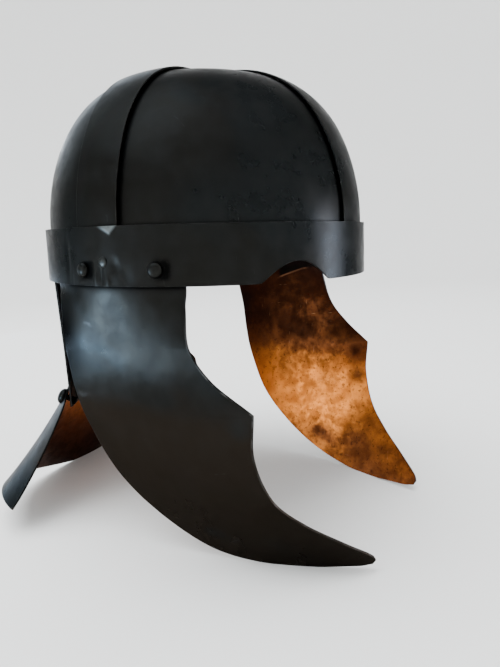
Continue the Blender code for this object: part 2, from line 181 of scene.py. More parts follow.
# Dents of the brow band: angle from the face, drop, half width and half height, and depth in mm
BAND_DENTS = (
    (103.0, 17.0, 2.2, 12.0, -0.45),
    (99.6, 27.0, 1.6, 7.0, 0.30),
    (95.6, 23.0, 7.5, 6.5, -0.55),
    (90.4, 27.0, 1.3, 6.0, 0.55),
    (88.2, 26.5, 1.3, 6.5, -0.55),
    (85.8, 28.5, 1.6, 5.0, 0.45),
    (83.2, 20.5, 2.4, 3.4, -0.70),
    (79.8, 26.0, 3.6, 6.0, -0.50),
    (70.8, 23.0, 6.5, 6.0, -0.35),
    (91.5, 9.0, 6.0, 5.0, -0.30),
    (62.0, 12.0, 7.0, 6.0, -0.20),
    (-70.8, 23.0, 7.0, 6.0, -0.45),
    (-87.0, 25.0, 3.0, 6.0, -0.50),
    (-95.6, 23.0, 6.5, 6.0, -0.40),
    (144.0, 23.0, 6.5, 6.0, -0.35),
    (180.0, 23.0, 6.5, 6.0, -0.35),
    (-144.0, 23.0, 6.5, 6.0, -0.35),
    (-120.0, 14.0, 9.0, 7.0, -0.25),
)

# The bright chip at the band's top edge: its middle in degrees, its reach and depth in mm, and
# how far it stands out in metres
CHIP_ANGLE = 84.4
CHIP_BEHIND = 8.6
CHIP_AHEAD = 4.6
CHIP_DEPTH = 4.5
CHIP_RAISED = 0.0003

# Painted shadow beside the domed heads: degrees nearer the face, half width and half height in mm
RIVET_SHADOW_TURN = 1.6
RIVET_SHADOW_WIDE = 5.6
RIVET_SHADOW_HIGH = 5.8

# The black top of the cheek guards' inside, a painted shadow under the band's arch: its lower edge
# as points of (ahead, drop), in mm
SHADOW_AHEAD = (-40.0, -4.0, 6.7, 19.4, 32.4, 43.3, 52.0)
SHADOW_DROP = (58.0, 47.9, 43.6, 39.2, 35.3, 33.7, 36.6)
SHADOW_BORDER = 0.9
UNDER_ARCH = (3.0, 9.0)
# A thin bright line along the painted shadow's lower edge: half width, where it ends ahead, and
# fade
BRIGHT_LINE_HALF_WIDTH = 0.4
BRIGHT_LINE_END = 40.0
BRIGHT_LINE_FADE = 8.0

# The guards' copper tone with painted light, in mm: it rises between two drops, from painted
# shade under the band to a painted highlight lower down, and dulls at the tip and lowest edge
TONE_AND_LIGHT_DROP = (80.0, 135.0)
TIP_AHEAD = (64.0, 92.0)
TIP_DROP = (130.0, 160.0)
TIP_DULL = 0.4
EDGE_DROP = (160.0, 180.0)
EDGE_DULL = 0.35

# The neck plate's inside: its upper sides with painted shade, by share of its half width, and its
# copper tone, darker towards the foot
NECK_SHADE_SIDE = (0.84, 0.94)
NECK_SHADE_LEVEL = 0.5
NECK_SHADE_FADE = 0.2
NECK_TONE = 0.85
NECK_TONE_LEVEL = 0.95
NECK_TONE_FADE = 0.8

# Stains of the copper and painted light spots: how far ahead, drop, half width and half height in
# mm, and depth, which is below zero for a painted light spot, lighter than what lies round it
COPPER_STAINS_AND_LIGHT = (
    (16.0, 84.0, 9.0, 7.0, 0.35),
    (30.0, 91.0, 12.0, 6.0, 0.40),
    (81.0, 105.0, 6.0, 6.0, 0.45),
    (83.0, 124.0, 7.0, 7.0, 0.45),
    (55.0, 131.0, 9.0, 7.0, 0.25),
    (14.0, 127.0, 10.0, 8.0, 0.25),
    (54.0, 176.0, 10.0, 6.0, 0.45),
    (90.0, 175.0, 14.0, 8.0, 0.10),
    (66.0, 182.0, 8.0, 6.0, 0.20),
    (26.0, 154.0, 15.0, 11.0, -0.35),
    (72.0, 146.0, 16.0, 12.0, -0.20),
    (110.0, 172.0, 14.0, 9.0, -0.16),
    (47.0, 89.0, 9.0, 8.0, -0.20),
    (-2.0, 143.0, 14.0, 10.0, -0.30),
    (130.0, 183.0, 14.0, 9.0, -0.18),
)

# Colours of the blackened steel
STEEL_COOL = (0.0085, 0.0098, 0.0102)
STEEL_WARM = (0.0098, 0.0096, 0.0086)
STEEL_PALE = (0.0150, 0.0154, 0.0152)
# A painted warm reflection, brownish
STEEL_WARM_REFLECTION = (0.012, 0.0088, 0.0062)
STEEL_SCRATCH = (0.05, 0.053, 0.055)
# Grime and painted shade
STEEL_GRIME_AND_SHADE = (0.0018, 0.0018, 0.0018)
# Bare metal worn at the rims, and a painted highlight on the guards' front edges
STEEL_WEAR_AND_HIGHLIGHT = (0.085, 0.086, 0.084)
STEEL_BARE = (0.095, 0.103, 0.100)
STEEL_EDGE = 0.5

# Colours of the copper side and of its cut edge
# Dark, middle and bright are picked by tone with painted light
COPPER_DARK = (0.024, 0.0062, 0.0022)
COPPER_MIDDLE = (0.105, 0.0265, 0.0068)
COPPER_BRIGHT = (0.62, 0.160, 0.020)
COPPER_SPECK = (0.030, 0.009, 0.004)
COPPER_SCRATCH = (0.55, 0.25, 0.10)
# Painted shadow and shade, near black
COPPER_SHADOW = (0.004, 0.003, 0.002)
# A thin bright line along the painted shadow
COPPER_BRIGHT_LINE = (0.30, 0.11, 0.045)
# Grime and painted shade
COPPER_GRIME_AND_SHADE = (0.01, 0.004, 0.003)
COPPER_EDGE = 0.8
RIM_DARK = (0.006, 0.005, 0.0045)
RIM_GLINT = (0.22, 0.075, 0.028)
RIM_EDGE = 0.6

# The floor: its flat part, how wide and high it curves up, and the top of the wall, in metres
FLOOR_COLOUR = (0.82, 0.82, 0.81, 1.0)
FLOOR_FLAT = (0.001, 0.5, 1.0, 1.8)
FLOOR_CURVE = 1.2
FLOOR_TOP = 3.6
FLOOR_SIDES = 96

# Lights: name, place, aim, size, power in watts and colour
COOL_LIGHT = (0.72, 0.86, 1.0)
BLUE_LIGHT = (0.55, 0.76, 1.0)
VIOLET_LIGHT = (0.85, 0.86, 1.0)
LOW = (0.0, 0.0, 0.10)
MIDDLE = (0.0, 0.0, 0.15)
OVERHEAD = ("overhead", (-0.5, 0.5, 2.3), (0, 0, 0), (2.2, 2.2), 100.0, (0.95, 0.98, 1.0))
MIRRORED = (
    ("low_right", (-0.33, 0.21, 0.090), LOW, (0.10, 0.05), 1.22, BLUE_LIGHT),
    ("low_left", (0.09, 1.00, 0.07), LOW, (0.90, 0.12), 3.0, BLUE_LIGHT),
    ("high_left", (0.30, 1.10, 0.95), MIDDLE, (1.1, 0.8), 8.5, COOL_LIGHT),
    ("face", (0.36, -0.71, 0.14), MIDDLE, (0.20, 0.27), 5.0, VIOLET_LIGHT),
    ("sky", (-0.8, 0.7, 2.1), MIDDLE, (1.8, 1.8), 30.0, COOL_LIGHT),
)
STUDIO_COLOUR = (0.97, 0.98, 1.0, 1.0)
STUDIO_STRENGTH = 1.9

# The camera in the helmet's own frame: place, turn, pitch down and roll, and focal length in mm
CAMERA_PLACE = (-0.2903, -0.2032, -0.0072)
CAMERA_TURN = (-59.7, 11.4, -1.45)
CAMERA_LENS = 26.0
CAMERA_SENSOR = 36.0


def oval(angle, inset, drop):
    """Plan oval: x = -(half width - inset) sin(angle), y = -(half length - inset) cos(angle)."""
    turn = np.radians(angle)
    x = -(BAND_HALF_WIDTH - inset) * np.sin(turn)
    y = -(BAND_HALF_LENGTH - inset) * np.cos(turn)
    return np.stack(np.broadcast_arrays(x, y, -drop), -1)


def oval_normal(angle):
    """Level unit vector out of the oval: (sin(angle) / width, cos(angle) / length), reversed."""
    turn = math.radians(angle)
    out = np.array([-math.sin(turn) / BAND_HALF_WIDTH, -math.cos(turn) / BAND_HALF_LENGTH, 0.0])
    return out / np.linalg.norm(out)


def ease(share):
    """Smooth step: 3 s^2 - 2 s^3, held between 0 and 1."""
    share = np.clip(share, 0.0, 1.0)
    return share * share * (3.0 - 2.0 * share)


def between(value, ends):
    """Smooth step of value from 0 at the first end to 1 at the second."""
    low, high = ends
    return ease((value - low) / (high - low))


def fading(distance, share_and_reach):
    """Share exp(-distance / reach), even below zero distance."""
    share, reach = share_and_reach
    return share * np.exp(-np.maximum(distance, 0.0) / reach)


def crowded(count, pull=0.8):
    """Shares from 0 to 1 that crowd at both ends: t - pull sin(2 pi t) / (2 pi)."""
    t = np.linspace(0.0, 1.0, count)
    return t - pull * np.sin(2 * np.pi * t) / (2 * np.pi)


def spline(values, steps):
    """Catmull-Rom curve through a column of values, with steps points to each gap."""
    padded = np.concatenate([[2 * values[0] - values[1]], values, [2 * values[-1] - values[-2]]])
    at = np.arange(0, (len(values) - 1) * steps + 1) / steps
    start = np.minimum(at.astype(int), len(values) - 2)
    t = at - start
    a, b, c, d = (padded[start + k] for k in range(4))
    cubic = (2 * a - 5 * b + 4 * c - d) * t**2 + (3 * b - a - 3 * c + d) * t**3
    return 0.5 * (2 * b + (c - a) * t + cubic)


def ripple(points, size, seed):
    """Soft unevenness from -1 to 1: a mean of seven sines along seven fixed directions."""
    turns = np.random.default_rng(seed)
    total = np.zeros(points.shape[:-1])
    for _ in range(7):
        heading = turns.normal(size=3)
        heading = heading / np.linalg.norm(heading)
        wave = size * turns.uniform(0.7, 1.5)
        total = total + np.sin(points @ heading * (2 * np.pi / wave) + turns.uniform(0, 6.283))
    return total / 7


def uneven(points, height_and_wave, seed):
    """A ripple of the given height and wave length."""
    height, wave = height_and_wave
    return height * ripple(points, wave, seed)


def turned_quads(levels, sides):
    """Vertex numbers of a turned profile, closed all round, and the quads between its levels."""
    number = np.arange(levels * sides).reshape(levels, sides)
    number = np.concatenate([number, number[:, :1]], 1)
    quads = np.stack([number[:-1, :-1], number[1:, :-1], number[1:, 1:], number[:-1, 1:]], -1)
    return number, quads.reshape(-1, 4)


def grid_normals(points, ring):
    """Unit normals of a grid: the cross product of its row and column differences."""
    if ring:
        along = np.roll(points, -1, axis=0) - np.roll(points, 1, axis=0)
    else:
        along = np.gradient(points, axis=0)
    normal = np.cross(along, np.gradient(points, axis=1))
    return normal / np.maximum(np.linalg.norm(normal, axis=-1, keepdims=True), 1e-12)


def rim_distance(grid, ring):
    """Distance from each grid point to the nearest free edge, measured along the grid lines."""

    def both_ways(axis):
        step = np.linalg.norm(np.diff(grid, axis=axis), axis=-1)
        run = np.cumsum(step, axis=axis)
        zero = np.zeros_like(np.take(run, [0], axis=axis))
        run = np.concatenate([zero, run], axis=axis)
        return np.minimum(run, np.take(run, [-1], axis=axis) - run)

    return both_ways(1) if ring else np.minimum(both_ways(0), both_ways(1))


def bowl_level(point):
    """Zero on the panels' outside: (plan oval)^shoulder + (height share)^rise - 1."""
    x, y, z = np.moveaxis(point, -1, 0)
    plan = (x / BOWL_HALF_WIDTH) ** 2 + (y / BOWL_HALF_LENGTH) ** 2
    rise = np.maximum(z, 0.0) / BOWL_HEIGHT
    return plan ** (BOWL_SHOULDER / 2) + rise**BOWL_RISE - 1.0


def bowl_normal(point):
    """Unit gradient of bowl_level."""
    x, y, z = np.moveaxis(point, -1, 0)
    plan = (x / BOWL_HALF_WIDTH) ** 2 + (y / BOWL_HALF_LENGTH) ** 2
    pull = BOWL_SHOULDER * plan ** (BOWL_SHOULDER / 2 - 1)
    rise = BOWL_RISE * (np.maximum(z, 0.0) / BOWL_HEIGHT) ** (BOWL_RISE - 1) / BOWL_HEIGHT
    out = np.stack([pull * x / BOWL_HALF_WIDTH**2, pull * y / BOWL_HALF_LENGTH**2, rise], -1)
    return out / np.linalg.norm(out, axis=-1, keepdims=True)


def bowl_point(origin, direction, lift):
    """Where rays meet the bowl, by halving forty times, then raised along the bowl's normal."""
    near = np.zeros(direction.shape[:-1])
    far = near + 2 * BOWL_HALF_LENGTH
    for _ in range(40):
        middle = (near + far) / 2
        inside = bowl_level(origin + direction * middle[..., None]) < 0
        near, far = np.where(inside, middle, near), np.where(inside, far, middle)
    point = origin + direction * near[..., None]
    return point + bowl_normal(point) * np.asarray(lift)[..., None]


def climb_angles(side, last, shares):
    """Ray angles up to last, spaced by shares of the run along the bowl's profile."""
    angles = np.linspace(0.0, last, PROFILE_POINTS)
    rays = np.stack([np.cos(angles) * side[0], np.cos(angles) * side[1], np.sin(angles)], -1)
    profile = bowl_point(np.zeros(3), rays, np.zeros(PROFILE_POINTS))
    run = np.concatenate([[0.0], np.cumsum(np.linalg.norm(np.diff(profile, axis=0), axis=1))])
    return np.interp(shares * run[-1], run, angles)


def stand(points):
    """From the helmet's own frame to the floor: a turn by LEAN about X, then STAND_AT."""
    y = points[..., 1] * math.cos(LEAN) - points[..., 2] * math.sin(LEAN)
    z = points[..., 1] * math.sin(LEAN) + points[..., 2] * math.cos(LEAN)
    return np.stack([points[..., 0], y, z], -1) + STAND_AT


def stand_at():
    """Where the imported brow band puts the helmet's own origin."""
    high = np.array(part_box("brow_band")[1])
    foot = (BAND_HALF_LENGTH + BAND_TAPER) * math.cos(LEAN) + BAND_HEIGHT * math.sin(LEAN)
    crest = (BAND_HALF_LENGTH - BAND_TAPER) * math.sin(LEAN)
    return np.array([0.0, high[1] - foot, high[2] - crest])


def add_mesh(node, vertices, faces, zones, materials, attributes):
    """A piece in place of a CAD node, with a material for each zone and its own attributes."""
    name = node + "_fine"
    mesh = bpy.data.meshes.new(name)
    mesh.from_pydata(vertices.tolist(), [], faces)
    mesh.polygons.foreach_set("material_index", np.asarray(zones, np.int32))
    for key, values in attributes.items():
        layer = mesh.attributes.new(key, "FLOAT", "POINT")
        layer.data.foreach_set("value", np.asarray(values, np.float32).ravel())
    for material in materials:
        mesh.materials.append(material)
    mesh.shade_smooth()
    mesh.update()
    piece = bpy.data.objects.new(name, mesh)
    bpy.context.scene.collection.objects.link(piece)
    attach(piece, "root")
    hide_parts(node)
    return piece


def add_sheet(node, outer, thickness, materials, extras, ring=False, trim=False):
    """A closed sheet: the outer grid, the same grid moved in by thickness, and walls all round.

    Zones 0, 1 and 2 are outside, inside and rim. A bevel rounds the rim's edges. With trim,
    what would lie under the floor is flattened onto it.
    """
    if np.sum(grid_normals(outer, ring) * (outer - HEART)) < 0:
        outer = outer[:, ::-1]
        extras = {key: values[:, ::-1] for key, values in extras.items()}
    inner = outer - grid_normals(outer, ring) * thickness
    extras["rim"] = rim_distance(outer, ring)
    rows, columns = outer.shape[:2]
    number = np.arange(rows * columns).reshape(rows, columns)
    if ring:
        number = np.concatenate([number, number[:1]])
    under = number + rows * columns
    faces, zones = [], []

    def wall(a, b, zone):
        quads = np.stack([a[:-1], b[:-1], b[1:], a[1:]], -1).reshape(-1, 4)
        faces.append(quads)
        zones.append(np.full(len(quads), zone))

    wall(number[:, 1:], number[:, :-1], 0)
    wall(under[:, :-1], under[:, 1:], 1)
    wall(number[:, 0], under[:, 0], 2)
    wall(under[:, -1], number[:, -1], 2)
    if not ring:
        wall(under[0], number[0], 2)
        wall(number[-1], under[-1], 2)
    vertices = stand(np.concatenate([outer.reshape(-1, 3), inner.reshape(-1, 3)]))
    if trim:
        vertices[:, 2] = np.maximum(vertices[:, 2], 0.0)
    doubled = {key: np.tile(values.ravel(), 2) for key, values in extras.items()}
    faces, zones = np.concatenate(faces).tolist(), np.concatenate(zones)
    piece = add_mesh(node, vertices, faces, zones, materials, doubled)
    bevel = piece.modifiers.new("soft rim", "BEVEL")
    bevel.width = BEVEL_SHARE * thickness
    bevel.segments = 2
    bevel.limit_method = "ANGLE"
    bevel.angle_limit = math.radians(BEVEL_ANGLE)
    bevel.harden_normals = False


def band_relief(angle, drop):
    """Dents and ridges: a sum of bells exp(-(across/half width)^2 - (down/half height)^2)."""
    relief = np.zeros(np.broadcast(angle, drop).shape)
    for at, down, half_width, half_height, depth in BAND_DENTS:
        turned = (angle - at + 180.0) % 360.0 - 180.0
        across = np.radians(turned) * BAND_HALF_WIDTH / MM / half_width
        below = (drop / MM - down) / half_height
        relief = relief + depth * MM * np.exp(-(across**2) - below**2)
    return relief


def chip_cover(angle, drop):
    """1 inside the bright three-cornered chip at the band's top edge, with a soft border."""
    across = np.radians(angle - CHIP_ANGLE) * BAND_HALF_WIDTH / MM
    reach = np.where(across > 0, CHIP_BEHIND, CHIP_AHEAD)
    edge = CHIP_DEPTH * (1 - np.abs(across) / reach) - drop / MM
    fade = 1 - 0.6 * ease((across - 2.0) / 6.0)
    return ease(edge / 2.2 + 0.3) * (np.abs(across) < 1.3 * reach) * fade


def rivet_shadow(angle, drop):
    """Painted shadow beside the domed heads: bells that lie a little nearer the face than the
    heads.
    """
    painted_shade = np.zeros(np.broadcast(angle, drop).shape)
    below = (drop - RIVET_DROP) / MM / RIVET_SHADOW_HIGH
    for at in GUARD_RIVET_ANGLES:
        turn = np.radians(np.abs(angle) - at + RIVET_SHADOW_TURN)
        across = turn * BAND_HALF_WIDTH / MM / RIVET_SHADOW_WIDE
        painted_shade = painted_shade + np.exp(-(across**4) - below**4)
    return painted_shade


def make_brow_band(materials):
    """The band: rows of the tapered oval from the top edge down to the arched lower edge."""
    angle = np.concatenate([
        np.arange(-48.0, 48.0, 0.8), np.arange(48.0, 62.0, 1.0), np.arange(62.0, 110.0, 0.4),
        np.arange(110.0, 312.0, 1.0),
    ])[:, None]
    off = (np.abs(angle) - ARCH_ANGLE) / ARCH_HALF_ANGLE
    arch = ARCH_RISE * np.clip(1 - off**2, 0, None) ** ARCH_POWER
    drop = crowded(BAND_ROWS) * (BAND_HEIGHT - arch)
    inset = BAND_TAPER * (1 - 2 * drop / BAND_HEIGHT)
    flat = oval(angle, inset, drop)
    cover = chip_cover(angle, drop)
    relief = band_relief(angle, drop) + uneven(flat, BAND_UNEVEN, 3) + CHIP_RAISED * cover
    # Grime along the band's lower edge, and a painted shadow beside the domed heads
    low = fading(BAND_HEIGHT - arch - drop, BAND_RIM_GRIME)
    extras = {"bare": cover, "grime_and_shade": np.maximum(low, RIVET_SHADOW_SHARE * rivet_shadow(angle, drop))}
    grid = oval(angle, inset - relief, drop)
    add_sheet("brow_band", grid, BAND_SHEET, materials, extras, ring=True)


def make_panel(side, end, materials):
    """A bowl panel: rays from the seam corner, by plan angle and climb, met with the bowl."""
    shares = crowded(PANEL_STEPS, 0.5)
    corner = np.array([side * PANEL_SEAM, end * PANEL_SEAM, 0.0])
    plan = np.radians(90.0 * shares)
    climb = climb_angles((0.0, 1.0), math.atan2(BOWL_HEIGHT, PANEL_TIP), shares)
    plan, climb = np.meshgrid(plan, climb, indexing="ij")
    across = np.stack([side * np.cos(plan), end * np.sin(plan)], -1) * np.cos(climb)[..., None]
    rays = np.concatenate([across, np.sin(climb)[..., None]], -1)
    flat = bowl_point(corner, rays, np.zeros(plan.shape))
    push = uneven(flat, PANEL_UNEVEN, 11 + side + 3 * end)
    grid = flat + bowl_normal(flat) * push[..., None]
    grid = np.concatenate([grid[:, :1] - [0.0, 0.0, TUCK], grid], 1)
    # Painted shade in the crevices beside the straps and just above the band's top edge
    off_middle = np.minimum(np.abs(grid[..., 0]), np.abs(grid[..., 1]))
    from_strap = np.maximum(off_middle - STRAP_WIDTH / 2, 0)
    crevice = np.exp(-((from_strap / CREVICE_REACH) ** 2))
    grime_and_shade = np.maximum(crevice, fading(from_strap, STRAP_SHADE))
    grime_and_shade = np.maximum(grime_and_shade, fading(grid[..., 2], PANEL_FOOT_SHADE))
    word = ("front" if end < 0 else "back") + "_" + ("right" if side < 0 else "left")
    add_sheet("panel_" + word, grid, PANEL_SHEET, materials, {"grime_and_shade": grime_and_shade})


def low_strap_lift(run):
    """The strap that lies on the panels keeps one height."""
    return np.full(run.shape, LAP_GAP + STRAP_SHEET)


def high_strap_lift(run):
    """The strap on top climbs by one sheet and one gap, by a smooth step, towards the middle."""
    step = 1 - ease((run - STRAP_WIDTH / 2 - PANEL_TIP / 2) / CROSSING_RAMP)
    return LAP_GAP + STRAP_SHEET + step * (STRAP_SHEET + LAP_GAP)


def make_strap(node, lengthwise, lift, materials):
    """A strap: parallel lines over the bowl at even widths, each raised by lift."""
    widths = STRAP_WIDTH * (crowded(STRAP_WIDTH_STEPS, 0.75) - 0.5)
    side = (1.0, 0.0) if lengthwise == 0 else (0.0, 1.0)
    climb = climb_angles(side, math.pi / 2, np.linspace(0.0, 1.0, STRAP_HALF_STEPS + 1))
    turn = np.concatenate([climb, math.pi - climb[-2::-1]])[:, None]
    origin = np.zeros((len(turn), STRAP_WIDTH_STEPS, 3))
    origin[..., 1 - lengthwise] = widths
    rays = np.zeros(origin.shape)
    rays[..., lengthwise] = -np.cos(turn)
    rays[..., 2] = np.sin(turn)
    flat = bowl_point(origin, rays, np.zeros(rays.shape[:-1]))
    height = lift(np.abs(flat[..., lengthwise])) + uneven(flat, STRAP_UNEVEN, 5 + lengthwise)
    grid = bowl_point(origin, rays, height)
    down = np.array([0.0, 0.0, TUCK])
    grid = np.concatenate([grid[:1] - down, grid, grid[-1:] - down])
    # Painted shade just above the band's top edge
    grime_and_shade = fading(grid[..., 2], STRAP_FOOT_SHADE)
    add_sheet(node, grid, STRAP_SHEET, materials, {"grime_and_shade": grime_and_shade})


def guard_column(name):
    """One column of the guard table, smoothed; the front edge keeps its corner sharp."""
    values = np.array([row[GUARD_COLUMNS.index(name)] for row in GUARD_ROWS])
    if name.startswith("front"):
        upper = spline(values[: GUARD_CORNER_ROW + 1], GUARD_ROW_STEPS)
        lower = spline(values[GUARD_CORNER_ROW:], GUARD_ROW_STEPS)
        return np.concatenate([upper, lower[1:]])
    return spline(values, GUARD_ROW_STEPS)


def guard_tone(ahead, drop):
    """Copper tone with painted light in mm: it rises down the guard from painted shade to a
    painted highlight, dulls towards the tip, less a bell per stain or painted light spot.
    """
    tip = between(ahead, TIP_AHEAD) * between(drop, TIP_DROP)
    edge = between(drop, EDGE_DROP)
    tone = between(drop, TONE_AND_LIGHT_DROP) * (1 - TIP_DULL * tip) * (1 - EDGE_DULL * edge)
    for at, down, half_width, half_height, depth in COPPER_STAINS_AND_LIGHT:
        bell = np.exp(-(((ahead - at) / half_width) ** 2) - ((drop - down) / half_height) ** 2)
        tone = tone - depth * bell
    return tone


def make_guard(node, side, materials):
    """A cheek guard: straight rulings from its front edge to its back edge, held by the oval."""
    share = crowded(GUARD_WIDTH_STEPS, 0.75)

    def ruled(what, size):
        front, back = guard_column("front_" + what), guard_column("back_" + what)
        return size * (front[:, None] * (1 - share) + back[:, None] * share)

    grip = np.clip(guard_column("grip"), 0, 1)[:, None]
    y = -ruled("ahead", GUARD_REACH) - (LEFT_GUARD_AHEAD if side > 0 else 0.0)
    beside = np.clip(1 - (y / (BAND_HALF_LENGTH - TAB_INSET)) ** 2, 0, 1)
    held = (BAND_HALF_WIDTH - TAB_INSET) * np.sqrt(beside)
    x = grip * held + (1 - grip) * ruled("out", GUARD_SPREAD)
    down = ruled("down", GUARD_DROP)
    free = ease((down - BAND_HEIGHT) / 0.03)
    flat = np.stack([side * x, y, -down], -1)
    x = x + free * (uneven(flat, GUARD_UNEVEN, 21) + uneven(flat, GUARD_PUCKER, 22))
    grid = np.stack([side * x, y, -down], -1)
    ahead, drop = -y / MM, down / MM
    # A painted shadow under the band's arch, with a thin bright line along its lower edge
    line = np.interp(ahead, SHADOW_AHEAD, SHADOW_DROP) - drop
    under_arch = between(ahead, UNDER_ARCH)
    bright_line = np.exp(-((line / BRIGHT_LINE_HALF_WIDTH) ** 2)) * under_arch
    # Painted shade along the back edge and a painted highlight along the front edge
    from_back = np.linalg.norm(grid - grid[:, -1:], axis=-1)
    dull, reach, middle, half_height = BACK_EDGE_SHADE
    back_edge_shade = dull * np.exp(-((from_back / reach) ** 2) - ((down - middle) / half_height) ** 2)
    pale, reach, middle, half_height = FRONT_EDGE_HIGHLIGHT
    front_highlight_share = ease(1 - share / reach) * np.exp(-(((down - middle) / half_height) ** 2))
    # Painted shade and shadow, a bright line, tone with painted light and a painted front
    # highlight
    extras = {
        "grime_and_shade": np.maximum(fading(down - BAND_HEIGHT, GUARD_TOP_SHADE), back_edge_shade),
        "painted_shade": ease(line / SHADOW_BORDER + 0.5) * under_arch,
        "bright_line": bright_line * ease((BRIGHT_LINE_END - ahead) / BRIGHT_LINE_FADE),
        "tone": guard_tone(ahead, drop),
        "wear": pale * front_highlight_share,
    }
    add_sheet(node, grid, GUARD_SHEET, materials, extras, trim=True)


def nape_inset(drop):
    """How far the nape plate is drawn in: even inside the band, then a straight lean."""
    lean = np.clip((drop - BAND_HEIGHT) / (NECK_TOP_DROP - BAND_HEIGHT), 0, 1)
    return TAB_INSET + NAPE_LEAN * lean


def make_nape_plate(materials):
    """The nape plate: the oval's back, drawn in by nape_inset, down to its rounded corners."""
    share = (2 * crowded(NAPE_GRID[0], 0.7) - 1)[:, None]
    angle = 180.0 + NAPE_HALF_ANGLE * share
    bottom = NAPE_DROP - NAPE_CORNER * np.abs(share) ** 10
    drop = TAB_TOP + (bottom - TAB_TOP) * crowded(NAPE_GRID[1], 0.7)
    flat = oval(angle, nape_inset(drop), drop)
    free = ease((drop - BAND_HEIGHT) / 0.02) * ease((NECK_TOP_DROP - drop) / 0.02)
    grid = oval(angle, nape_inset(drop) - free * uneven(flat, NAPE_UNEVEN, 31), drop)
    # Painted shade under the band's lower edge
    grime_and_shade = fading(drop - BAND_HEIGHT, NAPE_TOP_SHADE)
    add_sheet("nape_plate", grid, NAPE_SHEET, materials, {"grime_and_shade": grime_and_shade})


def neck_edge_drop(share):
    """How far the neck plate's top edge lies down: a parabola that drops towards its corners."""
    return NECK_TOP_DROP + NECK_SHOULDER_DROP * share**2


def neck_point(share, level):
    """The neck plate: a blend from the oval at its top to a squared oval at its foot.

    The foot is |sin/width|^n + |cos/length|^n = 1, lifted at its corners; the plan spreads by
    level - curl level (1 - level), which flares it.
    """
    inset = nape_inset(NECK_TOP_DROP) - SEAM_GAP - NECK_SHEET
    top = oval(180.0 + NECK_TOP_HALF_ANGLE * share, inset, neck_edge_drop(share))
    turn = np.radians(NECK_HALF_ANGLE * share)
    wide = np.abs(np.sin(turn) / NECK_HALF_WIDTH) ** NECK_SQUARENESS
    long = np.abs(np.cos(turn) / NECK_HALF_LENGTH) ** NECK_SQUARENESS
    reach = (wide + long) ** (-1 / NECK_SQUARENESS)
    foot_drop = NECK_DROP - NECK_CORNER_LIFT * ease(np.abs(share) / NECK_LIFT_SHARE)
    foot = np.stack([reach * np.sin(turn), reach * np.cos(turn), -foot_drop], -1)
    level = np.asarray(level)[..., None]
    spread = level - NECK_CURL * level * (1 - level)
    point = top + (foot - top) * level
    point[..., :2] = (top + (foot - top) * spread)[..., :2]
    return point


def make_neck_plate(materials):
    """The neck plate's fine grid: soft unevenness along its normals, top corners rounded.

    The rounding moves a point down by a share of its plate height that grows as |share|^n.
    """
    shares, levels = 2 * crowded(NECK_GRID[0], 0.7) - 1, crowded(NECK_GRID[1], 0.7)
    share, level = np.meshgrid(shares, levels, indexing="ij")
    level = level + (1 - level) * NECK_CORNER_ROUND * np.abs(share) ** NECK_ROUND_POWER
    flat = neck_point(share, level)
    free = ease(level / 0.25) * ease((1 - level) / 0.1)
    push = free * uneven(flat, NECK_UNEVEN, 41)
    grid = flat + grid_normals(flat, False) * push[..., None]
    # Painted shade under the nape plate and at the inside's upper sides; copper darker towards the
    # foot
    high = ease((NECK_SHADE_LEVEL - level) / NECK_SHADE_FADE)
    extras = {
        "grime_and_shade": fading(level, NECK_TOP_SHADE),
        "painted_shade": between(np.abs(share), NECK_SHADE_SIDE) * high,
        "tone": NECK_TONE * ease((NECK_TONE_LEVEL - level) / NECK_TONE_FADE),
    }
    add_sheet("neck_plate", grid, NECK_SHEET, materials, extras, trim=True)


def rivet_profile(head, height, shank, grip):
    """Radius and height down a rivet: a dome of eased quarter turn, a shank, a flat tail."""
    turn = np.radians([4, 14, 26, 38, 50, 62, 74, 84, 90])
    lip = 0.0001
    dome = [(head * math.sin(t), lip + (height - lip) * math.cos(t) ** 0.9) for t in turn]
    tail = -grip
    return np.array(dome + [
        (head, 0.0),
        (head * 0.97, -lip),
        (shank, -2 * lip),
        (shank, tail + lip),
        (TAIL_HEAD * 0.97, tail + lip),
        (TAIL_HEAD, tail),
        (TAIL_HEAD, tail - 0.6 * TAIL_HEIGHT),
        (TAIL_HEAD * 0.85, tail - TAIL_HEIGHT),
        (TAIL_HEAD * 0.3, tail - 1.05 * TAIL_HEIGHT),
    ])


